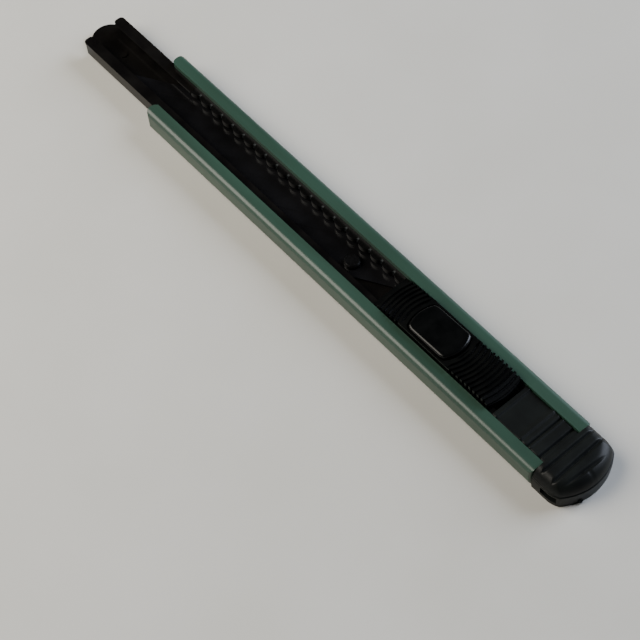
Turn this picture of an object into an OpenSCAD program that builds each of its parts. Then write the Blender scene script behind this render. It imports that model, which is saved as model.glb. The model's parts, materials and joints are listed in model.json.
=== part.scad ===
// Slim snap-off utility knife with a 9 mm blade.
// The origin is at the centre of the overall length and width, on the underside.
// +X runs to the blade's tip, +Y to the short rail and +Z up through the thumb slider.

/* [Sleeve] */
// Length of the sleeve along its long rail
sleeve_len = 123.4; // [115:0.1:150]
// Width of the sleeve
sleeve_w = 15.7; // [13:0.1:20]
// Thickness of the sleeve's floor
sleeve_floor = 0.9; // [0.7:0.05:1.5]
// Thickness of the sleeve's lips over the steel channel
sleeve_lip = 1.1; // [0.9:0.05:1.6]
// Width of the mouth between the sleeve's lips
mouth_w = 9.4; // [9:0.1:10]
// How far the left rail stops short of the right one
rail_setback = 6.8; // [0:0.1:9]
// Radius of the sleeve's long outer edges
sleeve_edge_r = 1.2; // [0.6:0.1:1.6]

/* [Steel channel] */
// Gap between the blade and each wall of the channel
blade_side_gap = 0.3; // [0.1:0.05:0.6]
// Outer height of the folded channel
channel_h = 3.2; // [2.9:0.05:4]
// Thickness of the steel sheet
sheet_t = 0.5; // [0.4:0.05:0.6]
// Width of the opening between the channel's lips
lip_gap = 5.8; // [5.6:0.1:6.4]
// Length of the nose that stands out of the long rail
nose_len = 21.6; // [16:0.1:30]
// How far the rounded floor tongue reaches past the lips
tongue_len = 2.9; // [2:0.1:3.5]

/* [Ratchet] */
// Distance between two notches
notch_pitch = 3.63; // [3:0.01:4.5]
// Distance from the long rail's front end to the first notch
notch_start = 10.95; // [9:0.05:16]
// How far each half-round tooth bulges out of the rack
tooth_bulge = 0.9; // [0.6:0.05:1]
// Height of the rack
rack_h = 1.15; // [1:0.05:1.3]

/* [Blade] */
// Width of the blade
blade_w = 9; // [8.6:0.1:9.2]
// Thickness of the blade
blade_t = 0.4; // [0.3:0.02:0.5]
// Length of the blade along one edge
blade_len = 71.7; // [58:0.1:75]
// Angle between the blade's snap lines and its edge
blade_angle = 30; // [28:1:60]
// Distance between two snap lines, along the edge
snap_pitch = 6; // [5:0.5:10]

/* [Slider] */
// Length of the thumb slider
slider_len = 33; // [28:0.1:34]
// Height that the slider's rim stands above the rails
slider_rise = 1; // [0.6:0.05:2]
// Length of the lock button
button_len = 12.2; // [10:0.1:13]
// Width of the slider's rim on each side of the lock button
button_side = 0.55; // [0.45:0.05:1]
// Height that the button stands above the slider's rim
button_rise = 0.8; // [0.75:0.05:1.2]
// Distance that the button can be pressed
button_travel = 0.7; // [0.4:0.05:0.7]

/* [Tail cap] */
// Length of the cap behind the sleeve
cap_len = 9; // [7.5:0.1:12]
// Height that the cap's crown stands above the rails
cap_rise = 0.9; // [0.4:0.05:1.5]
// Length of the plug between the rails
plug_len = 14; // [10:0.1:16]
// Length of the slot in the cap's side
snap_slot_len = 3.7; // [3:0.1:4.5]
// Height of the slot in the cap's side
snap_slot_h = 1.8; // [1.2:0.1:2.2]

/* [Fits] */
// Clearance between pieces that are pressed or slid together once
seat_gap = 0.05; // [0.03:0.01:0.1]
// Clearance between the moving slider and what it runs in
run_gap = 0.3; // [0.2:0.05:0.4]

/* [Hidden] */
$fn = 96;
eps = 0.01;
channel_w = blade_w + 2 * (blade_side_gap + sheet_t);

// Lengthwise stations
cap_gap = 0.2;
tail_corner_r = 0.8;
total_len = cap_len + cap_gap + sleeve_len + nose_len;
x_end = -total_len / 2;
x_sleeve = x_end + cap_len + cap_gap;
x_long = x_sleeve + sleeve_len;
x_short = x_long - rail_setback;
x_tip = x_long + nose_len;
x_lips = x_tip - tongue_len;
x_notch = x_long - notch_start;
x_rack = x_notch + 0.62 * notch_pitch;
rack_tail = 2.2;
plug_front = x_sleeve + plug_len;
slider_gap = 0.7;
x_slider = plug_front + slider_gap;
x_slider_front = x_slider + slider_len;
button_x = x_slider_front - 8.4;
pawl_notch = round((x_notch - button_x + 3.1) / notch_pitch);
x_pawl = x_notch - pawl_notch * notch_pitch;
notch_count = pawl_notch + 2;
x_rack_end = x_notch - (notch_count - 1) * notch_pitch - rack_tail;

// Heights
z_channel = sleeve_floor;
z_track = z_channel + sheet_t;
z_lip_top = z_channel + channel_h;
z_lip_under = z_lip_top - sheet_t;
z_cavity = z_lip_top + seat_gap;
sleeve_h = z_cavity + sleeve_lip;
z_plate = z_track + seat_gap;
plate_t = 0.4;
z_blade = z_plate + plate_t + seat_gap;
z_rack = z_lip_top - rack_h;
z_saddle = z_lip_top + 0.1;
z_rim = sleeve_h + slider_rise;

// Half widths
cavity_y = channel_w / 2 + seat_gap;
wall_y = channel_w / 2 - sheet_t;
lip_y = lip_gap / 2;
mouth_y = mouth_w / 2;
saddle_y = mouth_y - run_gap;
neck_y = lip_y - run_gap;
button_w = 2 * (saddle_y - button_side);
runner_y = wall_y - run_gap;

// Ratchet outline: each tooth is an arc whose chord is one pitch
groove_y = wall_y - 0.9;
crest_y = groove_y - tooth_bulge;
tooth_r = (pow(notch_pitch / 2, 2) + pow(tooth_bulge, 2)) / (2 * tooth_bulge);
pin_xs = [for (k = [1 : 3]) x_rack - (x_rack - x_rack_end) * (2 * k - 1) / 6];
pin_r = 0.35;

// Slider details
front_arc_r = 7.5;
rear_arc_r = 6.2;
rib_pitch = 1.08;
rib_w = 0.52;
rib_depth = 0.45;
side_relief = 0.35;
pocket_floor = z_saddle + 0.75;
button_bottom = pocket_floor + button_travel + seat_gap;
button_top = z_rim + button_rise;
button_dip = 0.35;
pawl_h = 0.7;
pawl_w = 2.6;
z_pawl = z_rack + (rack_h - pawl_h) / 2;
pawl_tip_gap = 0.12;
pawl_tail_y = 1.5;
cam_w = 1.4;
cam_t = 1;
cam_low = z_pawl - 0.15;
cam_lean = pawl_h + button_travel + 0.2;
cam_y0 = -1;
spring_t = 0.15;
spring_len = 0.4 * button_len;
peg_r = 1.75;
peg_x = x_slider_front + 11.3;
peg_stand = 1;
hole_to_tail = 3.15;
rivet_xs = [x_slider + 6, x_slider_front - 3.5];
channel_rivet_xs = [x_sleeve + plug_len + 4, x_short - 12];
dimple_setback = 7.1;
tongue_r = 4;
tongue_y = -0.7;

// Tail details
cap_arc_r = 11.5;
cap_base_h = 1;
cap_corner_r = 5.2;
crown_inset = 0.45;
shoulder_r = 2.2;
z_shoulder = 3.9;
groove_r = 0.7;
cap_grooves = [1.3, 3.9, 6.4];
cap_top = sleeve_h + cap_rise;
plug_y = mouth_y - 0.1;
plug_top = sleeve_h - 0.15;
moon_r = 7.3;
moon_top = 3;
moon_depth = 1.1;

// Rounded rectangle from x0 to x1 and from y0 to y1
module round_box(x0, x1, y0, y1, r) {
    translate([x0 + r, y0]) square([x1 - x0 - 2 * r, y1 - y0]);
    translate([x0, y0 + r]) square([x1 - x0, y1 - y0 - 2 * r]);
    for (x = [x0 + r, x1 - r], y = [y0 + r, y1 - r]) translate([x, y]) circle(r);
}

// Extrudes a section drawn in Y and Z along X, from x0 to x1
module along_x(x0, x1) {
    translate([x0, 0, 0]) rotate([90, 0, 90]) linear_extrude(x1 - x0) children();
}

// Extrudes a side view drawn in X and Z across Y, between -y and y
module across_y(y) {
    translate([0, y, 0]) rotate([90, 0, 0]) linear_extrude(2 * y) children();
}

// Block between two corners
module block(a, b) {
    translate(a) cube(b - a);
}

// ---- handle ----

// Plan of the sleeve: two rails of unequal length joined by a floor with a slanted front
module sleeve_plan() {
    round_box(x_sleeve + 2, x_short, mouth_y, sleeve_w / 2, 1.3);
    round_box(x_sleeve + 2, x_long, -sleeve_w / 2, -mouth_y, 1.3);
    round_box(x_sleeve, x_sleeve + 10, -sleeve_w / 2, sleeve_w / 2, tail_corner_r);
    translate([x_sleeve + 4, -sleeve_w / 2]) square([x_short - x_sleeve - 7, sleeve_w]);
    polygon([[x_short - 4, -mouth_y - 1.4], [x_long - 1.4, -mouth_y - 1.4],
             [x_short - 1.4, mouth_y + 1.4], [x_short - 4, mouth_y + 1.4]]);
}

module sleeve() {
    color([0.27, 0.40, 0.34]) difference() {
        intersection() {
            along_x(x_sleeve - 1, x_long + 1)
                round_box(-sleeve_w / 2, sleeve_w / 2, 0, sleeve_h, sleeve_edge_r);
            linear_extrude(sleeve_h + 1) sleeve_plan();
        }
        block([x_sleeve - 2, -cavity_y, z_channel], [x_long + 2, cavity_y, z_cavity]);
        block([x_sleeve - 2, -mouth_y, z_channel], [x_long + 2, mouth_y, sleeve_h + 1]);
        for (x = channel_rivet_xs) translate([x, 0, -eps]) {
            cylinder(h = 0.4 + seat_gap, r = 2.05);
            cylinder(h = sleeve_h, r = 1.25);
        }
    }
}

// Lips of the channel, with rounded front ends
module lip_plan(y0, y1, x0) {
    round_box(x0, x_lips, y0, y1, 0.9);
    translate([x0, y0]) square([x_lips - x0 - 2, y1 - y0]);
}

module blade_channel() {
    x0 = x_sleeve + 1.5;
    color([0.07, 0.07, 0.07]) difference() {
        union() {
            translate([0, 0, z_channel]) linear_extrude(sheet_t) {
                translate([x0, -channel_w / 2]) square([x_lips - 1.2 - x0, channel_w]);
                translate([x_lips - 4, -tongue_r + tongue_y]) square([x_tip - tongue_r - x_lips + 4, 2 * tongue_r]);
                translate([x_tip - tongue_r, tongue_y]) circle(tongue_r);
            }
            for (s = [-1, 1]) {
                wall0 = s > 0 ? channel_w / 2 - sheet_t : -channel_w / 2;
                translate([0, 0, z_channel]) linear_extrude(channel_h)
                    translate([x0, wall0]) square([x_lips - 0.9 - x0, sheet_t]);
            }
            translate([0, 0, z_lip_under]) linear_extrude(sheet_t) {
                lip_plan(lip_y, channel_w / 2, x0);
                lip_plan(-channel_w / 2, -lip_y, x_rack);
                translate([x0, -channel_w / 2]) square([x_rack_end - 0.3 - x0, channel_w / 2 - lip_y]);
            }
            translate([x_lips - dimple_setback, 0, z_track]) cylinder(h = 0.25, r = 0.85);
        }
        for (x = channel_rivet_xs) translate([x, 0, z_channel - eps]) cylinder(h = sheet_t + 1, r = 1.25);
        for (x = pin_xs) translate([x, -wall_y, z_rack + rack_h / 2])
            rotate([90, 0, 0]) cylinder(h = 1, r = pin_r);
    }
}

module channel_rivets() {
    color([0.6, 0.6, 0.6]) for (x = channel_rivet_xs) translate([x, 0, 0]) {
        cylinder(h = 0.4, r = 2);
        cylinder(h = z_track, r = 1.25);
    }
}

// Rack with half-round teeth, laid along the inside of the right wall
module ratchet_rack() {
    color([0.03, 0.03, 0.03]) difference() {
        translate([0, 0, z_rack]) linear_extrude(rack_h) {
            translate([x_rack_end, -wall_y]) square([x_rack - x_rack_end, wall_y - groove_y - 0.1]);
            intersection() {
                translate([x_rack_end, -wall_y]) square([x_rack - x_rack_end, wall_y]);
                for (k = [0 : notch_count - 1])
                    translate([x_notch - (k - 0.5) * notch_pitch, -crest_y - tooth_r]) circle(tooth_r);
            }
        }
        for (x = pin_xs) translate([x, -wall_y + 0.7, z_rack + rack_h / 2])
            rotate([90, 0, 0]) cylinder(h = 1, r = pin_r);
    }
}

module rack_pins() {
    color([0.5, 0.5, 0.5]) for (x = pin_xs) translate([x, -wall_y + 0.7, z_rack + rack_h / 2])
        rotate([90, 0, 0]) cylinder(h = sheet_t + 0.7, r = pin_r);
}

// ---- slider ----

// Plan of the button, grown by g at its sides and e at its ends, which are arcs
module button_plan(g, e) {
    intersection() {
        round_box(button_x - button_len - e, button_x + e, -button_w / 2 - g, button_w / 2 + g, 2.2);
        translate([button_x - front_arc_r, 0]) circle(front_arc_r + e);
        translate([button_x - button_len + rear_arc_r, 0]) circle(rear_arc_r + e);
    }
}

// Side view of the slider, its top lowered by d
module slider_side(d) {
    polygon([[x_slider, z_saddle], [x_slider_front, z_saddle],
             [x_slider_front, z_saddle + 0.85 - d], [x_slider_front - 4.5, z_rim - 0.25 - d],
             [button_x, z_rim - d], [button_x - button_len, z_rim - d],
             [x_slider + 5.5, z_rim + 0.55 - d], [x_slider + 2.2, z_rim + 0.5 - d],
             [x_slider, z_rim - 0.35 - d]]);
}

// Plan of the slider: square in front, a shallow arc behind
module slider_plan(inset) {
    intersection() {
        translate([x_slider, -saddle_y + inset]) square([slider_len, 2 * (saddle_y - inset)]);
        translate([x_slider + 14, 0]) circle(14);
        union() {
            translate([x_slider + 10, -saddle_y]) square([slider_len, 2 * saddle_y]);
            translate([x_slider + 14, 0]) circle(14);
        }
    }
    translate([x_slider + 10, -saddle_y + inset]) square([slider_len - 10, 2 * (saddle_y - inset)]);
}

// Ribs in front of the button and behind it, each an arc about the button's own end
module rib_plan() {
    front_count = floor((x_slider_front - button_x) / rib_pitch);
    rear_count = floor((button_x - button_len - x_slider) / rib_pitch);
    intersection() {
        translate([button_x, -saddle_y]) square([slider_len, 2 * saddle_y]);
        for (i = [1 : front_count]) translate([button_x - front_arc_r, 0]) difference() {
            circle(front_arc_r + i * rib_pitch);
            circle(front_arc_r + i * rib_pitch - rib_w);
        }
    }
    intersection() {
        translate([x_slider, -saddle_y]) square([button_x - button_len + 1.5 - x_slider, 2 * saddle_y]);
        for (i = [1 : rear_count]) translate([button_x - button_len + rear_arc_r, 0]) difference() {
            circle(rear_arc_r + i * rib_pitch + 0.25);
            circle(rear_arc_r + i * rib_pitch + 0.25 - rib_w);
        }
    }
}

module thumb_slider() {
    rim0 = button_x - button_len - 0.6;
    rim1 = button_x + 0.6;
    color([0.05, 0.05, 0.05]) difference() {
        union() {
            intersection() {
                across_y(saddle_y) slider_side(rib_depth);
                linear_extrude(z_rim + 3) slider_plan(side_relief);
            }
            intersection() {
                across_y(saddle_y) slider_side(0);
                linear_extrude(z_rim + 3) intersection() {
                    slider_plan(0);
                    union() {
                        rib_plan();
                        translate([rim0, -saddle_y]) square([rim1 - rim0, 2 * saddle_y]);
                    }
                }
            }
            block([x_slider + 2.5, -saddle_y, z_saddle], [x_slider_front, saddle_y, z_saddle + 0.5]);
            block([x_slider + 2.5, -neck_y, z_blade], [x_slider_front - 1.5, neck_y, z_saddle + 0.5]);
        }
        translate([0, 0, pocket_floor]) linear_extrude(z_rim) button_plan(0.15, 0.3);
        block([x_pawl - pawl_w / 2 - seat_gap, -saddle_y - 1, z_pawl - seat_gap],
              [x_pawl + pawl_w / 2 + seat_gap, saddle_y + 1, z_pawl + pawl_h + seat_gap]);
        block([x_pawl - cam_w / 2 - seat_gap, cam_y0 - cam_t / 2 - 0.15, cam_low - button_travel - seat_gap],
              [x_pawl + cam_w / 2 + seat_gap, cam_y0 + cam_lean + cam_t / 2 + 0.15, pocket_floor + eps]);
        for (x = rivet_xs) translate([x, 0, z_blade - 1]) cylinder(h = 2.2, r = 0.8);
    }
}

// Plate that runs under the lips, with a tongue that carries the blade
module blade_holder() {
    color([0.10, 0.10, 0.10]) difference() {
        union() {
            block([x_slider + 2, -runner_y, z_plate], [x_slider_front - 3, runner_y, z_plate + plate_t]);
            block([x_slider + 2.5, -neck_y, z_plate], [x_slider_front - 3, neck_y, z_blade]);
            translate([0, 0, z_plate]) linear_extrude(plate_t) {
                translate([x_slider_front - 4, -2.4]) square([peg_x - x_slider_front + 4, 4.8]);
                translate([peg_x, 0]) circle(2.4);
            }
        }
        for (x = rivet_xs) translate([x, 0, z_plate - eps]) cylinder(h = 2, r = 0.8);
        translate([peg_x, 0, z_plate - eps]) cylinder(h = 1, r = 1.2);
    }
}

module slider_rivets() {
    color([0.6, 0.6, 0.6]) for (x = rivet_xs) translate([x, 0, z_plate]) cylinder(h = z_blade + 1.2 - z_plate, r = 0.8);
}

module blade_peg() {
    color([0.03, 0.03, 0.03]) translate([peg_x, 0, 0]) {
        translate([0, 0, z_plate]) cylinder(h = plate_t, r = 1.2);
        translate([0, 0, z_plate + plate_t]) cylinder(h = seat_gap + blade_t + peg_stand - 0.3, r = peg_r - seat_gap);
        translate([0, 0, z_blade + blade_t + peg_stand - 0.3])
            cylinder(h = 0.3, r1 = peg_r - seat_gap, r2 = peg_r - 0.35);
    }
}

// Blade: a parallelogram with its acute tip on the left, ground along its left edge
module blade() {
    lean = blade_w / tan(blade_angle);
    x_mid = peg_x - hole_to_tail / sin(blade_angle);
    cuts = floor((blade_len - 12) / snap_pitch);
    grind = 1.1;
    color([0.13, 0.13, 0.13]) difference() {
        intersection() {
            along_x(x_mid - lean, x_mid + blade_len + lean) translate([0, z_blade])
                polygon([[-blade_w / 2, 0], [blade_w / 2 - grind, 0], [blade_w / 2, blade_t / 2 - 0.02],
                         [blade_w / 2, blade_t / 2 + 0.02], [blade_w / 2 - grind, blade_t], [-blade_w / 2, blade_t]]);
            linear_extrude(z_blade + 5) polygon([
                [x_mid - lean / 2, -blade_w / 2 - eps], [x_mid + blade_len - lean / 2, -blade_w / 2 - eps],
                [x_mid + blade_len + lean / 2, blade_w / 2 + eps], [x_mid + lean / 2, blade_w / 2 + eps]]);
        }
        translate([peg_x, 0, z_blade - eps]) cylinder(h = 1, r = peg_r);
        for (k = [1 : cuts]) translate([x_mid + blade_len - k * snap_pitch, 0, z_blade + blade_t])
            rotate([0, 0, blade_angle]) cube([2 * blade_w + 4, 0.12, 0.12], center = true);
    }
}

// Bow of spring strip between the pocket's floor and the button
module button_spring() {
    rise = button_bottom - pocket_floor - 2 * eps;
    bow_r = (pow(spring_len / 2, 2) + pow(rise, 2)) / (2 * rise);
    x = button_x - button_len + 0.8 + spring_len / 2;
    color([0.7, 0.7, 0.7]) intersection() {
        translate([x, 1.5, pocket_floor + eps + rise - bow_r]) rotate([90, 0, 0]) linear_extrude(3) difference() {
            circle(bow_r);
            circle(bow_r - spring_t);
        }
        block([x - spring_len, -2, pocket_floor + eps], [x + spring_len, 2, button_bottom]);
    }
}

// ---- lock button and pawl ----

// Button up to height top at its rear and button_dip lower in front, its plan drawn in by -g
module button_layer(g, top) {
    intersection() {
        translate([0, 0, button_bottom]) linear_extrude(button_top) button_plan(g, g);
        across_y(button_w) polygon([
            [button_x - button_len - 1, button_bottom], [button_x + 1, button_bottom],
            [button_x + 1, top - button_dip - 0.25], [button_x - 0.8, top - button_dip],
            [button_x - button_len + 2, top], [button_x - button_len - 1, top - 0.25]]);
    }
}

module lock_button() {
    color([0.04, 0.04, 0.04]) {
        button_layer(0, button_top - 0.35);
        button_layer(-0.3, button_top);
        // cam post, which leans to the left as it rises
        translate([x_pawl - cam_w / 2, 0, 0]) rotate([90, 0, 90]) linear_extrude(cam_w) polygon([
            [cam_y0 - cam_t / 2, cam_low], [cam_y0 + cam_t / 2, cam_low],
            [cam_y0 + cam_t / 2 + cam_lean, cam_low + cam_lean], [cam_y0 + cam_t / 2 + cam_lean, button_bottom + 0.1],
            [cam_y0 - cam_t / 2 + cam_lean, button_bottom + 0.1], [cam_y0 - cam_t / 2 + cam_lean, cam_low + cam_lean]]);
    }
}

// Pawl that the cam draws out of the ratchet: a cross bar with a leaning slot
module lock_pawl() {
    tip_y = -crest_y + pawl_tip_gap;
    tip_r = 1;
    color([0.5, 0.5, 0.5]) difference() {
        translate([0, 0, z_pawl]) linear_extrude(pawl_h) {
            translate([x_pawl, tip_y + tip_r]) circle(tip_r);
            translate([x_pawl - tip_r, tip_y + tip_r]) square([2 * tip_r, 0.9]);
            translate([x_pawl - pawl_w / 2, tip_y + tip_r + 0.4])
                square([pawl_w, pawl_tail_y - tip_y - tip_r - 0.4]);
        }
        translate([x_pawl - cam_w / 2 - 0.1, 0, 0]) rotate([90, 0, 90]) linear_extrude(cam_w + 0.2) polygon([
            [cam_y0 - cam_t / 2 - 0.1 - 0.5, cam_low - 0.5], [cam_y0 + cam_t / 2 + 0.1 - 0.5, cam_low - 0.5],
            [cam_y0 + cam_t / 2 + 0.1 + cam_lean, cam_low + cam_lean],
            [cam_y0 - cam_t / 2 - 0.1 + cam_lean, cam_low + cam_lean]]);
    }
}

// ---- tail cap ----

// Plan of the cap, its outline drawn in by g: a wide arc behind, well rounded into the sides
module cap_plan(g) {
    intersection() {
        translate([x_end, -sleeve_w / 2]) square([cap_len, sleeve_w]);
        round_box(x_end + g, x_sleeve + 2 * cap_corner_r, -sleeve_w / 2 + g, sleeve_w / 2 - g, cap_corner_r - g);
        translate([x_end + cap_arc_r, 0]) circle(cap_arc_r - g);
    }
}

// Half-moon at the middle of the cap's end face, where the base shows
module half_moon(g) {
    translate([x_end - 1, 0, moon_top - moon_r]) rotate([0, 90, 0]) cylinder(h = moon_depth + 1, r = moon_r + g);
}

// Upper moulding: the ribbed plug, the tongue inside the channel and the cap's crown
module tail_plug() {
    z_low = cap_base_h + seat_gap;
    slot_x = x_sleeve - 2.5 - snap_slot_len;
    rear = x_sleeve - cap_gap;
    color([0.12, 0.13, 0.13]) {
        difference() {
            union() {
                translate([0, 0, z_low]) linear_extrude(z_shoulder - z_low) cap_plan(0);
                intersection() {
                    translate([0, 0, z_shoulder - eps]) linear_extrude(cap_top - z_shoulder) cap_plan(crown_inset);
                    along_x(x_end - 1, x_sleeve)
                        round_box(crown_inset - sleeve_w / 2, sleeve_w / 2 - crown_inset, 0, cap_top, shoulder_r);
                    across_y(sleeve_w) round_box(x_end + crown_inset, rear + 3, 0, cap_top, 2.6);
                }
            }
            // round grooves across the crown
            for (back = cap_grooves) translate([rear - back, sleeve_w, cap_top + groove_r - 0.5])
                rotate([90, 0, 0]) cylinder(h = 2 * sleeve_w, r = groove_r);
            block([slot_x, sleeve_w / 2 - 6, z_low + 0.1], [slot_x + snap_slot_len, sleeve_w, z_low + 0.1 + snap_slot_h]);
            half_moon(0.1);
        }
        // plug between the rails: panel, cross ribs and a neck through the lips
        difference() {
            block([rear - 1, -plug_y, z_saddle], [plug_front, plug_y, plug_top]);
            for (x = [[1.4, 0.55], [4.6, 0.7]]) block([x_sleeve + x[0], -mouth_w, plug_top - 0.4],
                                                     [x_sleeve + x[0] + x[1], mouth_w, plug_top + 1]);
            block([x_sleeve + 6.9, -mouth_w, plug_top - 0.3], [plug_front - 1.1, mouth_w, plug_top + 1]);
            block([plug_front - 0.5, -mouth_w, plug_top - 0.5], [plug_front + 1, mouth_w, plug_top + 1]);
        }
        block([rear - 1, -neck_y, z_rack - 0.3], [plug_front, neck_y, z_saddle + eps]);
        block([rear - 1, -runner_y, z_plate + 0.1], [plug_front, runner_y, z_rack - 0.1]);
    }
}

// Base plate of the cap, with the half-moon that shows in the end face and a small nub
module cap_base() {
    color([0.10, 0.11, 0.11]) {
        linear_extrude(cap_base_h) cap_plan(0.1);
        intersection() {
            translate([0, 0, cap_base_h - eps]) linear_extrude(moon_top) cap_plan(0.1);
            half_moon(0);
        }
        translate([x_end + 0.65, 3.4, 0.25]) cylinder(h = 0.5, r = 0.5);
    }
}

// Steel plate with a slit, at the inner end of the side slot
module snap_plate() {
    slot_x = x_sleeve - 2.5 - snap_slot_len;
    z0 = cap_base_h + seat_gap + 0.1;
    color([0.7, 0.7, 0.7]) difference() {
        block([slot_x, sleeve_w / 2 - 6, z0], [slot_x + snap_slot_len, sleeve_w / 2 - 5.4, z0 + snap_slot_h]);
        block([slot_x + 0.6, 0, z0 + snap_slot_h / 2 - 0.3],
              [slot_x + snap_slot_len - 0.6, sleeve_w / 2, z0 + snap_slot_h / 2 + 0.3]);
    }
}

sleeve();
blade_channel();
channel_rivets();
ratchet_rack();
rack_pins();
thumb_slider();
blade_holder();
slider_rivets();
blade_peg();
blade();
button_spring();
lock_button();
lock_pawl();
tail_plug();
cap_base();
snap_plate();
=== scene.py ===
# A slim snap-off utility knife lying on a pale table. Blender works in metres, and mm() turns millimetres
# into them. The shapes drawn here are in millimetres, until to_metres() scales them.
import json
import math

import bmesh
import bpy
from mathutils import Matrix, Vector
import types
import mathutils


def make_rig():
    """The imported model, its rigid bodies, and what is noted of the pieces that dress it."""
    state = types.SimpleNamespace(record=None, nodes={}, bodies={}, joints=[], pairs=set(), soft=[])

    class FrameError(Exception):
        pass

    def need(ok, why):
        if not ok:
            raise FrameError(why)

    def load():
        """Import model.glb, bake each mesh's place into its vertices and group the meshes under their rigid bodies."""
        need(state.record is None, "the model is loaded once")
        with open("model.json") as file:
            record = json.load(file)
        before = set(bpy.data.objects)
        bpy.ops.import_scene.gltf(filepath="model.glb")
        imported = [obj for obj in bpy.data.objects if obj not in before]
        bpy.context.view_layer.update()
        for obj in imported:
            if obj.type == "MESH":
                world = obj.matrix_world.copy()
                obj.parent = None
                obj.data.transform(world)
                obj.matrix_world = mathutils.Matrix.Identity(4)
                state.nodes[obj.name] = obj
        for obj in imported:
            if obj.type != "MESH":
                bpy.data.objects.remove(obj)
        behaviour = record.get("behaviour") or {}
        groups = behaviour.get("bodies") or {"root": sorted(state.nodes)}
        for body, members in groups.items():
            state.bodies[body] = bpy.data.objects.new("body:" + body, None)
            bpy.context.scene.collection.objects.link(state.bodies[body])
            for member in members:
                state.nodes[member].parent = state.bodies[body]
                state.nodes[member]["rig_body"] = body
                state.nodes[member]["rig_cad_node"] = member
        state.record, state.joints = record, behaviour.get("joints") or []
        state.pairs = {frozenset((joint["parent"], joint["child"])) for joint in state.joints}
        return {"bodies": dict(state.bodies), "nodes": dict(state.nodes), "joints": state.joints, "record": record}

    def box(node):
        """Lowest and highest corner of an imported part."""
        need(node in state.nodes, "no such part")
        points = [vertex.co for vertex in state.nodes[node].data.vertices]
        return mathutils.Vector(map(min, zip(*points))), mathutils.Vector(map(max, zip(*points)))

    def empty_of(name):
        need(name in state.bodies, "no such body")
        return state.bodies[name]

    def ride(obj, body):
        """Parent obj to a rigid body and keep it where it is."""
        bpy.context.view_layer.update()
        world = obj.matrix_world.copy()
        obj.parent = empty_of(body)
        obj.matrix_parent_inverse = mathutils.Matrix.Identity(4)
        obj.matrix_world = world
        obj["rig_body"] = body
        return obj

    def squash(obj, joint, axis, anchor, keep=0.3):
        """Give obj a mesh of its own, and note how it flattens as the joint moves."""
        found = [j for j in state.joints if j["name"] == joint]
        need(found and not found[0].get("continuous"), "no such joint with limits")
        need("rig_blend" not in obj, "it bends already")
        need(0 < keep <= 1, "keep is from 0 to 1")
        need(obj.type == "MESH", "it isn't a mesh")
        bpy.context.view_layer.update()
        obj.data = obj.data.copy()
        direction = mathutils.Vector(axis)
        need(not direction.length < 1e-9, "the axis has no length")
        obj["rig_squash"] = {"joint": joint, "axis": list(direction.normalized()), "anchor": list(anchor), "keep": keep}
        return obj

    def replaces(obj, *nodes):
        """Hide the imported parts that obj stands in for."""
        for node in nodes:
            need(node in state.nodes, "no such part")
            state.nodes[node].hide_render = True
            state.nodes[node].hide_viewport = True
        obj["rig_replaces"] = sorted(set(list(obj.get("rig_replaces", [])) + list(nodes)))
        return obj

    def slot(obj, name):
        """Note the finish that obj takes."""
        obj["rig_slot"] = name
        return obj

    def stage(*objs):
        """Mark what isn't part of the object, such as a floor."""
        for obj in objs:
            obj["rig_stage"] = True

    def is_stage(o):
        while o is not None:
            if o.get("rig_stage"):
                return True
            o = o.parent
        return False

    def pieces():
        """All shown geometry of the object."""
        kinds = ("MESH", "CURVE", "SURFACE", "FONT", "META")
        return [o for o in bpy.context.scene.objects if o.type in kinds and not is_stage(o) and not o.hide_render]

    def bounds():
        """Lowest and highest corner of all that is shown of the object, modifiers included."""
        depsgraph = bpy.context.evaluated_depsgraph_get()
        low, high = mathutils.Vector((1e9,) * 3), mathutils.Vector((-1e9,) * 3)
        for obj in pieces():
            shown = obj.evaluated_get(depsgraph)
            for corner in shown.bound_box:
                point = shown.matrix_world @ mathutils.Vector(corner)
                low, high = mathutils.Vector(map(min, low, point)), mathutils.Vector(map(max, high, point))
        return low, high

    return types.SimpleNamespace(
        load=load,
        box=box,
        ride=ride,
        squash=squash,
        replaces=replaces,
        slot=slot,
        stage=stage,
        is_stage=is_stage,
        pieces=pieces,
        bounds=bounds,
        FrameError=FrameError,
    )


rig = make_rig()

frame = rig.load()
nodes = frame["nodes"]
cad_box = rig.bounds()


def mm(*lengths):
    """Millimetres as metres: one number, or a tuple of them."""
    return lengths[0] / 1000 if len(lengths) == 1 else tuple(v / 1000 for v in lengths)


def paint(code):
    """An sRGB hex colour as the linear colour that a shader takes."""
    parts = [int(code[i:i + 2], 16) / 255 for i in (0, 2, 4)]
    return tuple(c / 12.92 if c <= 0.04045 else ((c + 0.055) / 1.055) ** 2.4 for c in parts) + (1.0,)


def grain(size_mm):
    """Texture scale for a feature of that size in millimetres."""
    return 1000 / size_mm


def tones(dark, light):
    """Two colours for a ramp, placed so that most of a noise's values lie between them."""
    return (0.35, dark), (0.65, light)


# ---- finishes ----

NOTCH_PITCH = 3.63
FIRST_CUSP = 44.55  # X of one cusp of the ratchet, in millimetres; the others lie whole pitches from it


def add(finish, kind, inputs=None, stops=None, **settings):
    """Adds a node to a finish, of a kind such as TexNoise.

    An input is a value or the socket it is linked from; stops are a ramp's colours."""
    made = finish.node_tree.nodes.new("ShaderNode" + kind)
    for name, value in settings.items():
        setattr(made, name, value)
    for name, value in (inputs or {}).items():
        if isinstance(value, bpy.types.NodeSocket):
            finish.node_tree.links.new(value, made.inputs[name])
        else:
            made.inputs[name].default_value = value
    if stops:
        spots = made.color_ramp.elements
        for place, colour in stops:
            spots.new(place).color = paint(colour)
        # the black and the white that a new ramp starts with; no stop stands at the white's place, 1
        spots.remove(spots[0])
        spots.remove(spots[-1])
    return made


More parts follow.
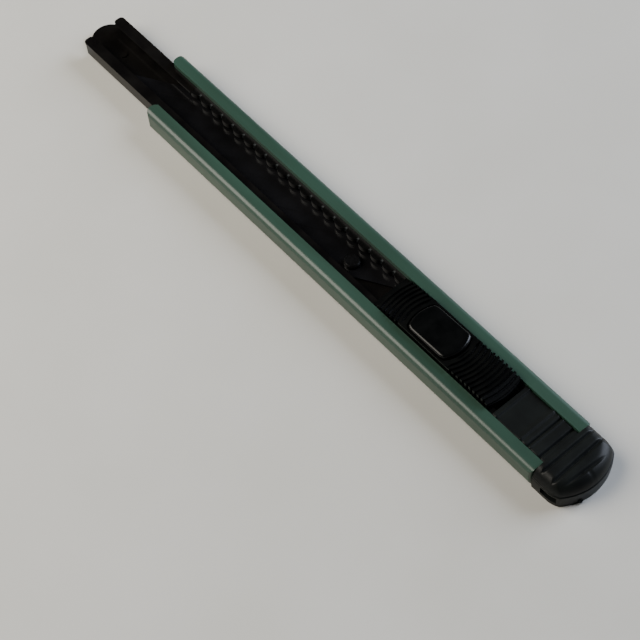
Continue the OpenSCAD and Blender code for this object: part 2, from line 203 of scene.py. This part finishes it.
def start_finish(name, metallic=0.0, ior=1.5, specular=0.5):
    """A new finish: the material, its shader, and each point's place on the piece as lying at rest."""
    finish = bpy.data.materials.new(name)
    finish.use_nodes = True
    shader = finish.node_tree.nodes["Principled BSDF"]
    shader.inputs["Metallic"].default_value = metallic
    shader.inputs["IOR"].default_value = ior
    shader.inputs["Specular IOR Level"].default_value = specular
    place = add(finish, "TexCoord").outputs["Object"]
    return finish, shader, place


def wire(finish, shader, colour, gloss, bump=None):
    """Links a finish's colour, gloss and bump nodes to its shader, and hands the finish back."""
    finish.node_tree.links.new(colour.outputs["Color"], shader.inputs["Base Color"])
    finish.node_tree.links.new(gloss.outputs["Result"], shader.inputs["Roughness"])
    if bump is not None:
        finish.node_tree.links.new(bump.outputs["Normal"], shader.inputs["Normal"])
    return finish


def green_abs():
    """Satin green ABS, injection moulded: a fine grain softens its highlights, with faint flow lengthwise."""
    finish, shader, place = start_finish("green_abs", ior=1.54, specular=0.45)
    flow = add(finish, "Mapping", {"Vector": place, "Scale": (0.12, 1, 1)})
    streak = add(finish, "TexNoise", {"Vector": flow.outputs["Vector"], "Scale": grain(4), "Detail": 3})
    skin = add(finish, "TexNoise", {"Vector": place, "Scale": grain(0.22), "Detail": 2})
    colour = add(finish, "ValToRGB", {"Fac": streak.outputs["Fac"]}, stops=tones("243c31", "2b463a"))
    gloss = add(finish, "MapRange", {"Value": skin.outputs["Fac"], "To Min": 0.3, "To Max": 0.42})
    bump = add(finish, "Bump", {"Height": skin.outputs["Fac"], "Strength": 0.12, "Distance": mm(0.03)})
    return wire(finish, shader, colour, gloss, bump)


def blackened_steel():
    """Chemically blackened strip steel: dark and semi-gloss, with fine rolling lines along the strip."""
    finish, shader, place = start_finish("blackened_steel", ior=1.3, specular=0.2)
    along = add(finish, "Mapping", {"Vector": place, "Scale": (0.04, 1, 1)})
    lines = add(finish, "TexNoise", {"Vector": along.outputs["Vector"], "Scale": grain(0.3), "Detail": 3})
    patch = add(finish, "TexNoise", {"Vector": place, "Scale": grain(5), "Detail": 3})
    colour = add(finish, "ValToRGB", {"Fac": patch.outputs["Fac"]}, stops=tones("0b0a0a", "131211"))
    gloss = add(finish, "MapRange", {"Value": lines.outputs["Fac"], "To Min": 0.12, "To Max": 0.26})
    bump = add(finish, "Bump", {"Height": lines.outputs["Fac"], "Strength": 0.1, "Distance": mm(0.02)})
    return wire(finish, shader, colour, gloss, bump)


def black_blade_coat():
    """Black-coated carbon steel, ground: glossy and unevenly polished, with faint grinding lines across it."""
    finish, shader, place = start_finish("black_blade_coat", ior=1.5, specular=0.35)
    across = add(finish, "Mapping", {"Vector": place, "Scale": (1, 0.05, 1), "Rotation": (0, 0, 0.1)})
    lines = add(finish, "TexNoise", {"Vector": across.outputs["Vector"], "Scale": grain(0.25), "Detail": 3})
    patch = add(finish, "TexNoise", {"Vector": place, "Scale": grain(7), "Detail": 4})
    colour = add(finish, "ValToRGB", {"Fac": patch.outputs["Fac"]}, stops=tones("0d0d0e", "141416"))
    gloss = add(finish, "MapRange", {"Value": patch.outputs["Fac"], "To Min": 0.12, "To Max": 0.24})
    bump = add(finish, "Bump", {"Height": lines.outputs["Fac"], "Strength": 0.08, "Distance": mm(0.02)})
    return wire(finish, shader, colour, gloss, bump)


def acetal_painted_glints():
    """Black acetal, moulded smooth, with a painted highlight: a lighter grey at each cusp of the ratchet stands in for
    the glints there.
    """
    finish, shader, place = start_finish("acetal_painted_glints", ior=1.48, specular=0.3)
    skin = add(finish, "TexNoise", {"Vector": place, "Scale": grain(0.4), "Detail": 3})
    colour = add(finish, "ValToRGB", {"Fac": skin.outputs["Fac"]}, stops=tones("050505", "0a0a0b"))
    gloss = add(finish, "MapRange", {"Value": skin.outputs["Fac"], "To Min": 0.24, "To Max": 0.36})
    # the painted glints: close to a cusp along the rack, and in the band across it where the cusps end
    part = add(finish, "SeparateXYZ", {"Vector": place})
    shift = add(finish, "Math", {0: part.outputs["X"], 1: mm(FIRST_CUSP)}, operation="SUBTRACT")
    off_cusp = add(finish, "Math", {0: shift.outputs[0], 1: mm(NOTCH_PITCH / 2)}, operation="PINGPONG")
    near = add(finish, "MapRange", {"Value": off_cusp.outputs[0], "From Min": mm(0.12), "From Max": mm(0.3),
                                    "To Min": 1.0, "To Max": 0.0})
    side = add(finish, "MapRange", {"Value": part.outputs["Y"], "From Min": mm(-3.55), "From Max": mm(-3.7),
                                    "To Min": 0.0, "To Max": 1.0})
    back = add(finish, "MapRange", {"Value": part.outputs["Y"], "From Min": mm(-4.25), "From Max": mm(-4.1),
                                    "To Min": 0.0, "To Max": 1.0})
    band = add(finish, "Math", {0: side.outputs["Result"], 1: back.outputs["Result"]}, operation="MULTIPLY")
    spot = add(finish, "Math", {0: near.outputs["Result"], 1: band.outputs[0]}, operation="MULTIPLY")
    # painted highlight: a lighter grey mixed in at each cusp stands in for its glint
    painted_glint = add(finish, "MixRGB", {"Fac": spot.outputs[0], "Color1": colour.outputs["Color"],
                                  "Color2": paint("44484a")})
    return wire(finish, shader, painted_glint, gloss)


def slider_nylon():
    """Black glass-filled nylon, moulded: deep black, faintly clouded, with a fine grain in its shine."""
    finish, shader, place = start_finish("slider_nylon", ior=1.53, specular=0.3)
    skin = add(finish, "TexNoise", {"Vector": place, "Scale": grain(0.18), "Detail": 3})
    cloud = add(finish, "TexNoise", {"Vector": place, "Scale": grain(3), "Detail": 2})
    colour = add(finish, "ValToRGB", {"Fac": cloud.outputs["Fac"]}, stops=tones("050606", "0a0b0a"))
    gloss = add(finish, "MapRange", {"Value": skin.outputs["Fac"], "To Min": 0.16, "To Max": 0.32})
    bump = add(finish, "Bump", {"Height": skin.outputs["Fac"], "Strength": 0.08, "Distance": mm(0.02)})
    return wire(finish, shader, colour, gloss, bump)


def polished_button_abs():
    """Black ABS from a polished mould: glossy, with the haze that handling leaves on it."""
    finish, shader, place = start_finish("polished_button_abs", ior=1.54, specular=0.22)
    haze = add(finish, "TexNoise", {"Vector": place, "Scale": grain(2.2), "Detail": 4})
    colour = add(finish, "ValToRGB", {"Fac": haze.outputs["Fac"]}, stops=tones("050606", "090a0a"))
    gloss = add(finish, "MapRange", {"Value": haze.outputs["Fac"], "To Min": 0.16, "To Max": 0.28})
    return wire(finish, shader, colour, gloss)


def charcoal_cap_abs():
    """Charcoal ABS from a spark-eroded mould: its grain spreads every highlight into a soft sheen."""
    finish, shader, place = start_finish("charcoal_cap_abs", ior=1.54, specular=0.14)
    skin = add(finish, "TexNoise", {"Vector": place, "Scale": grain(0.2), "Detail": 3})
    tone = add(finish, "TexNoise", {"Vector": place, "Scale": grain(6), "Detail": 2})
    colour = add(finish, "ValToRGB", {"Fac": tone.outputs["Fac"]}, stops=tones("0c0e0e", "141716"))
    gloss = add(finish, "MapRange", {"Value": skin.outputs["Fac"], "To Min": 0.34, "To Max": 0.46})
    bump = add(finish, "Bump", {"Height": skin.outputs["Fac"], "Strength": 0.22, "Distance": mm(0.03)})
    return wire(finish, shader, colour, gloss, bump)


def bright_steel():
    """Plain drawn steel, for rivets, pins and strip: bare metal with a fine mottle in tone and polish."""
    finish, shader, place = start_finish("bright_steel", metallic=1.0)
    mottle = add(finish, "TexNoise", {"Vector": place, "Scale": grain(0.3), "Detail": 3})
    colour = add(finish, "ValToRGB", {"Fac": mottle.outputs["Fac"]}, stops=tones("8f9092", "a9aaac"))
    gloss = add(finish, "MapRange", {"Value": mottle.outputs["Fac"], "To Min": 0.25, "To Max": 0.4})
    return wire(finish, shader, colour, gloss)


FINISHES = {
    "green_plastic": green_abs(), "black_steel": blackened_steel(), "black_blade": black_blade_coat(),
    "rivet_steel": bright_steel(), "black_acetal": acetal_painted_glints(), "slider_plastic": slider_nylon(),
    "button_plastic": polished_button_abs(), "cap_plastic": charcoal_cap_abs(),
}
FINISHES["spring_steel"] = FINISHES["rivet_steel"]
SLOTS = {part["node"]: part["material_slot"] for part in frame["record"]["subparts"]}


# ---- pieces taken over from the CAD model ----

# the CAD nodes that are modelled again further down, each with the body it rides on
RIDES_ON = {"tail_plug": "tail_cap", "lock_button": "lock_button", "button_spring": "slider"}

# how wide each node's sharp edges are broken, in millimetres
EDGE_BREAK = {"sleeve": 0.5, "blade_channel": 0.12, "thumb_slider": 0.2, "cap_base": 0.2,
              "ratchet_rack": 0.08, "blade_peg": 0.12, "blade_holder": 0.05}
FLAT_WITHIN = math.radians(1)    # facets that meet flatter than this are one face
SHARP_FROM = math.radians(28)    # edges sharper than this are broken
CREASE_FROM = math.radians(42)   # edges of the pieces modelled here that stay a crease in the shading


def dress(name):
    """Gives a CAD node its finish, and breaks its sharp edges where EDGE_BREAK lists it."""
    piece = nodes[name]
    piece.data.materials.clear()
    piece.data.materials.append(FINISHES[SLOTS[name]])
    piece.data.shade_smooth()
    if name in EDGE_BREAK:
        plain = piece.modifiers.new("merge_facets", "DECIMATE")
        plain.decimate_type = "DISSOLVE"
        plain.angle_limit = FLAT_WITHIN
        bevel = piece.modifiers.new("edge_break", "BEVEL")
        bevel.width = mm(EDGE_BREAK[name])
        bevel.segments = 3
        bevel.limit_method = "ANGLE"
        bevel.angle_limit = SHARP_FROM
    even = piece.modifiers.new("even_shading", "WEIGHTED_NORMAL")
    even.weight = 60
    even.keep_sharp = False


for name in SLOTS:
    if name not in RIDES_ON:
        dress(name)


# ---- how a piece is modelled here ----

def to_metres(shape):
    """Scales a shape drawn in millimetres to metres."""
    bmesh.ops.scale(shape, vec=mm(1, 1, 1), verts=shape.verts)


def as_object(name, shape):
    """Puts a finished shape into the scene."""
    mesh = bpy.data.meshes.new(name)
    shape.to_mesh(mesh)
    shape.free()
    made = bpy.data.objects.new(name, mesh)
    bpy.context.scene.collection.objects.link(made)
    return made


def moulding(name, shape, node):
    """Makes a piece from a closed shape in millimetres. It stands for a CAD node and rides with its body."""
    to_metres(shape)
    bmesh.ops.recalc_face_normals(shape, faces=shape.faces)
    piece = as_object(name, shape)
    piece.data.shade_smooth()
    piece.data.set_sharp_from_angle(angle=CREASE_FROM)
    piece.data.materials.append(FINISHES[SLOTS[node]])
    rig.ride(piece, RIDES_ON[node])
    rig.replaces(piece, node)
    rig.slot(piece, SLOTS[node])
    return piece


def box_mm(node):
    """Low and high corner of a CAD node's box, in millimetres."""
    return ([v * 1000 for v in corner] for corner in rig.box(node))


def pillow(shape, half, rear, front, top, low, along, across):
    """Adds a closed pad as wide as half to each side, with a flat underside at low.

    rear(y) and front(y) bound it along X, and top(x, y) is its upper face. along and across count its
    faces, which crowd towards the edges, where the shape turns most."""
    rows = []
    for j in range(across + 1):
        y = half * math.sin(math.pi * (j / across - 0.5))
        start, stop = rear(y), front(y)
        row = []
        for i in range(along + 1):
            x = start + (stop - start) * (0.5 - 0.5 * math.cos(math.pi * i / along))
            row.append(shape.verts.new((x, y, top(x, y))))
        rows.append(row)
    for row, beside in zip(rows, rows[1:]):
        for i in range(along):
            shape.faces.new((row[i], row[i + 1], beside[i + 1], beside[i]))
    rim = rows[0][:] + [row[-1] for row in rows[1:]] + rows[-1][-2::-1] + [row[0] for row in rows[-2:0:-1]]
    foot = [shape.verts.new((v.co.x, v.co.y, low)) for v in rim]
    for i in range(len(rim)):
        k = (i + 1) % len(rim)
        shape.faces.new((rim[i], foot[i], foot[k], rim[k]))
    shape.faces.new(foot[::-1])


def bar(shape, low, high):
    """Adds a square-edged bar between two corners."""
    for v in bmesh.ops.create_cube(shape, size=1)["verts"]:
        for k in range(3):
            v.co[k] = high[k] if v.co[k] > 0 else low[k]


def prism(shape, outlines):
    """Joins outlines of equally many points into one closed solid, and caps its two ends."""
    loops = [[shape.verts.new(point) for point in outline] for outline in outlines]
    for loop, following in zip(loops, loops[1:]):
        for i in range(len(loop)):
            k = (i + 1) % len(loop)
            shape.faces.new((loop[i], loop[k], following[k], following[i]))
    shape.faces.new(loops[0])
    shape.faces.new(loops[-1][::-1])


def roll(depth, reach, drop):
    """Height lost at a depth inside an edge that is rounded over a reach and falls by a drop."""
    return drop * (1 - math.sqrt(max(0.0, 1 - (1 - min(max(depth, 0.0) / reach, 1)) ** 2)))


def hump(off, wide):
    """A soft rib or groove: 1 in its middle, falling away on both sides."""
    return math.exp(-(off / wide) ** 2)


def ledge(off, height, soft):
    """A softened step up of that height."""
    return height / (1 + math.exp(-off / soft))


# ---- tail cap ----

low_cap, high_cap = box_mm("tail_plug")
CAP_END, CAP_FRONT, CAP_HALF, CAP_TOP = low_cap[0], -68.1, high_cap[1], high_cap[2]
CAP_ARC, CAP_CORNER = 11.5, 5.2      # radii of the end and of its corners, from above
CAP_SEAM = 3.45                      # height of the line where the crown sits on the shell
CROWN_INSET = 0.2                    # how far the crown stands back from the shell's outline
# X, depth, width and lean of each groove
CROWN_GROOVES = ((-69.4, 0.5, 0.3, 0), (-72.0, 0.62, 0.36, -3), (-74.5, 0.52, 0.36, 5))
GROOVE_LEAN = 0.012                  # what one step of lean adds to X, for each millimetre across
CROWN_SOFTNESS = 0.3                 # how softly the grooved top runs into the round shoulders
END_LINE = -74.6                     # the end's centre line runs from here to the rear
# corners of the bar that cuts the side slot: 6 mm deep, and reaching out past the side
SNAP_SLOT = ((-74.1, CAP_HALF - 6, 1.15), (-70.4, CAP_HALF + 1, 2.95))
# the drum that cuts the half-moon into the end face: only the top of it meets the cap
MOON_RADIUS, MOON_LENGTH, MOON_CENTRE = 7.4, 2.1, (CAP_END + 0.05, 0, -4.3)
PLUG_HALF, NECK_HALF, RUNNER_HALF = 4.6, 2.6, 4.5
PLUG_RIBS = ((-54.9, 0.1, 0.2), (-61.4, 0.24, 0.26), (-62.5, 0.06, 0.3), (-63.3, -0.38, 0.2),
             (-63.9, 0.14, 0.2), (-65.2, 0.05, 0.6), (-66.5, -0.45, 0.26))  # X, rise, width


def cap_depth(x, y, inset):
    """How far a point lies inside the cap's outline, which is drawn in by inset."""
    end = CAP_ARC - inset - math.hypot(x - CAP_END - CAP_ARC, y)
    if x < CAP_END + CAP_CORNER and abs(y) > CAP_HALF - CAP_CORNER:
        side = CAP_CORNER - inset - math.hypot(x - CAP_END - CAP_CORNER, abs(y) - CAP_HALF + CAP_CORNER)
    else:
        side = CAP_HALF - inset - abs(y)
    return min(side, end)


def cap_rear(y, inset):
    """X of the cap's rear outline at y, drawn in by inset."""
    reach = CAP_ARC - inset
    arc = CAP_END + CAP_ARC - math.sqrt(reach ** 2 - y ** 2)
    into = abs(y) - CAP_HALF + CAP_CORNER
    if into <= 0:
        return arc
    return max(arc, CAP_END + CAP_CORNER - math.sqrt(max(0.0, (CAP_CORNER - inset) ** 2 - into ** 2)))


def crown_top(x, y):
    """Upper face of the crown: round shoulders, a longer fall to the end, three grooves and a centre line."""
    depth = cap_depth(x, y, CROWN_INSET)
    tail = (CAP_ARC - CROWN_INSET - math.hypot(x - CAP_END - CAP_ARC, y)) * 0.72
    skin = CAP_TOP - 0.08 * (y / 5) ** 2 - roll(min(depth, tail), 2.5, 2.75)
    cut = sum(deep * hump(x - at - GROOVE_LEAN * y * lean, wide) for at, deep, wide, lean in CROWN_GROOVES)
    grooved = CAP_TOP - 0.08 - cut - 0.12 * hump(x - CAP_FRONT, 0.4)
    if skin < grooved - CROWN_SOFTNESS or skin > grooved + CROWN_SOFTNESS:
        height = min(skin, grooved)
    else:
        height = ((skin + grooved) / 2 - CROWN_SOFTNESS / 4
                  - ((skin - grooved) / CROWN_SOFTNESS) ** 2 * CROWN_SOFTNESS / 4)
    line = 0.18 * hump(y - 0.1, 0.16) if x < END_LINE else 0.0
    return height - line


def cap_shell():
    """Lower half of the cap's moulding, up to its seam, with the side slot and the half-moon cut out."""
    shape = bmesh.new()
    pillow(shape, CAP_HALF, lambda y: cap_rear(y, 0), lambda y: CAP_FRONT,
           lambda x, y: CAP_SEAM - roll(cap_depth(x, y, 0), 0.25, 0.25),
           low=low_cap[2], along=60, across=48)
    shell = moulding("cap_shell", shape, "tail_plug")
    slot = bmesh.new()
    bar(slot, *SNAP_SLOT)
    moon = bmesh.new()
    bmesh.ops.create_cone(moon, cap_ends=True, segments=96, radius1=MOON_RADIUS, radius2=MOON_RADIUS,
                          depth=MOON_LENGTH,
                          matrix=Matrix.Translation(MOON_CENTRE) @ Matrix.Rotation(math.pi / 2, 4, "Y"))
    cutters = []
    for name, cutter in (("slot_cutter", slot), ("moon_cutter", moon)):
        to_metres(cutter)
        tool = as_object(name, cutter)
        cut = shell.modifiers.new(name, "BOOLEAN")
        cut.operation = "DIFFERENCE"
        cut.solver = "EXACT"
        cut.object = tool
        cutters.append(tool)
    bpy.context.view_layer.update()
    finished = bpy.data.meshes.new_from_object(shell.evaluated_get(bpy.context.evaluated_depsgraph_get()))
    shell.modifiers.clear()
    shell.data = finished
    finished.set_sharp_from_angle(angle=CREASE_FROM)
    for tool in cutters:
        bpy.data.objects.remove(tool)


def cap_crown():
    """Grooved crown of the cap."""
    shape = bmesh.new()
    pillow(shape, CAP_HALF - CROWN_INSET, lambda y: cap_rear(y, CROWN_INSET), lambda y: CAP_FRONT,
           crown_top, low=3.3, along=110, across=64)
    moulding("cap_crown", shape, "tail_plug")


def plug_top(x, y):
    """Upper face of the plug: cross ribs and grooves, and a shallow panel towards the slider."""
    skin = 4.95 - ledge(x + 60.7, 0.2, 0.12) + ledge(x + 55.1, 0.2, 0.1)
    for at, rise, wide in PLUG_RIBS:
        skin += rise * hump(x - at, wide)
    return skin - roll(min(PLUG_HALF - abs(y), high_cap[0] - x), 0.3, 0.3)


def tail_plug():
    """The plug between the rails, its neck through the channel's lips and its runner inside the channel."""
    shape = bmesh.new()
    rear, front = CAP_FRONT - 1, high_cap[0]
    pillow(shape, PLUG_HALF, lambda y: rear, lambda y: front, plug_top, low=4.2, along=160, across=24)
    bar(shape, (rear, -NECK_HALF, 2.65), (front, NECK_HALF, 4.3))
    bar(shape, (rear, -RUNNER_HALF, 1.6), (front, RUNNER_HALF, 2.8))
    moulding("rear_plug", shape, "tail_plug")


# ---- lock button and its spring ----

low_button, high_button = box_mm("lock_button")
BUTTON_CORNER = 2.2
BUTTON_ENDS = {1: (high_button[0], 7.5), -1: (low_button[0], 6.2)}  # front and rear: X and its arc's radius
POST_FROM, POST_TO = -32.38, -30.98  # X of the cam post's two faces
POST = ((-1.5, 3.025), (-0.5, 3.025), (1.1, 4.625), (1.1, 5.8), (0.1, 5.8), (0.1, 4.625))  # its Y and Z
STRIP = 0.15                         # thickness of the spring's strip
SPRING_STEPS = 12                    # stretches from the spring's middle to each end


def button_bound(y, sign):
    """X of the button's front (sign 1) or rear (sign -1) outline at y."""
    end, reach = BUTTON_ENDS[sign]
    arc = end - sign * (reach - math.sqrt(reach ** 2 - y ** 2))
    into = abs(y) - high_button[1] + BUTTON_CORNER
    if into <= 0:
        return arc
    corner = end - sign * (BUTTON_CORNER - math.sqrt(max(0.0, BUTTON_CORNER ** 2 - into ** 2)))
    return min(arc, corner) if sign > 0 else max(arc, corner)


def button_top(x, y):
    """Upper face of the button: nearly flat, falling a little to the front, with a round edge."""
    depth = high_button[1] - abs(y)
    for sign, (end, reach) in BUTTON_ENDS.items():
        depth = min(depth, reach - math.hypot(x - end + sign * reach, y))
        over, into = sign * (x - end) + BUTTON_CORNER, abs(y) - high_button[1] + BUTTON_CORNER
        if over > 0 and into > 0:
            depth = min(depth, BUTTON_CORNER - math.hypot(over, into))
    fall = 0.35 * max(0.0, (x - low_button[0] - 2) / (high_button[0] - low_button[0] - 2))
    return high_button[2] - fall - 0.06 * (y / 3.8) ** 2 - roll(depth, 0.5, 0.55)


def lock_button():
    """The lock button, with the leaning post under it that moves the pawl."""
    shape = bmesh.new()
    pillow(shape, high_button[1], lambda y: button_bound(y, -1), lambda y: button_bound(y, 1), button_top,
           low=5.7, along=80, across=48)
    prism(shape, [[(x, y, z) for y, z in POST] for x in (POST_FROM, POST_TO)])
    moulding("press_button", shape, "lock_button")


def bow_spring():
    """Bow of spring strip under the button. It flattens onto the pocket's floor as the button goes down."""
    low, high = box_mm("button_spring")
    middle, half = (low[0] + high[0]) / 2, (high[0] - low[0]) / 2
    outlines = []
    for i in range(2 * SPRING_STEPS + 1):
        off = i / SPRING_STEPS - 1
        foot = low[2] + (high[2] - low[2] - STRIP) * (1 - off ** 2)
        corners = ((low[1], 0), (high[1], 0), (high[1], STRIP), (low[1], STRIP))
        outlines.append([(middle + half * off, y, foot + z) for y, z in corners])
    shape = bmesh.new()
    prism(shape, outlines)
    piece = moulding("bow_spring", shape, "button_spring")
    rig.squash(piece, "button_press", axis=(0, 0, 1), anchor=mm(middle, 0, low[2]), keep=0.05)


cap_shell()
cap_crown()
tail_plug()
lock_button()
bow_spring()


# ---- table, light and camera ----

def table_top():
    """Pale matt laminate table, faintly clouded. It is drawn in metres."""
    shape = bmesh.new()
    bmesh.ops.create_grid(shape, x_segments=8, y_segments=8, size=2.0)
    top = as_object("table_top", shape)
    finish, shader, place = start_finish("pale_laminate", ior=1.45, specular=0.3)
    cloud = add(finish, "TexNoise", {"Vector": place, "Scale": grain(30), "Detail": 3})
    colour = add(finish, "ValToRGB", {"Fac": cloud.outputs["Fac"]}, stops=tones("c6c5be", "cac9c3"))
    matt = add(finish, "MapRange", {"Value": cloud.outputs["Fac"], "To Min": 0.55, "To Max": 0.6})
    top.data.materials.append(wire(finish, shader, colour, matt))
    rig.stage(top)


def soft_light(name, towards, distance, size, power, colour):
    """A square soft box that looks at the knife's middle from the given direction."""
    lamp = bpy.data.lights.new(name, "AREA")
    lamp.size = size
    lamp.energy = power
    lamp.color = paint(colour)[:3]
    box = bpy.data.objects.new(name, lamp)
    way = Vector(towards).normalized()
    box.location = way * distance
    box.rotation_mode = "QUATERNION"
    box.rotation_quaternion = way.to_track_quat("Z", "Y")
    bpy.context.scene.collection.objects.link(box)


def room_light():
    """The room all round: bright low down, where the walls and windows are, and dark overhead."""
    world = bpy.data.worlds.new("room")
    world.use_nodes = True
    way = add(world, "TexCoord").outputs["Generated"]
    height = add(world, "SeparateXYZ", {"Vector": way}).outputs["Z"]
    ramp = add(world, "ValToRGB", {"Fac": height},
               stops=((0.0, "f4f2ee"), (0.3, "d8d9da"), (0.5, "46474a"), (0.7, "2a2b2e"), (0.99, "222326")))
    background = world.node_tree.nodes["Background"]
    world.node_tree.links.new(ramp.outputs["Color"], background.inputs["Color"])
    background.inputs["Strength"].default_value = 0.26
    bpy.context.scene.world = world


def camera():
    """Looks down on the knife from behind its left shoulder: nose at the upper left, cap at the lower right."""
    lens = bpy.data.cameras.new("camera")
    lens.sensor_width = 36
    lens.lens = 104.27
    lens.clip_start = 0.01
    seen = bpy.data.objects.new("camera", lens)
    azimuth, elevation, tilt = map(math.radians, (-125.566, 57.026, -5.950))
    level = math.cos(elevation)
    back = Vector((math.sin(azimuth) * level, -math.cos(azimuth) * level, math.sin(elevation)))
    right = Vector((0, 0, 1)).cross(back).normalized()
    up = back.cross(right)
    tilted_right = right * math.cos(tilt) + up * math.sin(tilt)
    tilted_up = up * math.cos(tilt) - right * math.sin(tilt)
    turned = Matrix((tilted_right, tilted_up, back)).transposed().to_4x4()
    seen.matrix_world = Matrix.Translation(mm(-175.8, 128.7, 307.29)) @ turned
    bpy.context.scene.collection.objects.link(seen)
    bpy.context.scene.camera = seen


table_top()
soft_light("window_light", (-0.3, -1.0, 0.5), distance=0.8, size=0.55, power=10.8, colour="e4edff")
soft_light("lamp_light", (0.6, 0.58, 0.82), distance=0.5, size=0.42, power=3.9, colour="fff8ec")
room_light()
camera()

shown_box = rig.bounds()
with open("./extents.json", "w") as file:
    json.dump({"cad": [list(v) for v in cad_box], "shown": [list(v) for v in shown_box]}, file)
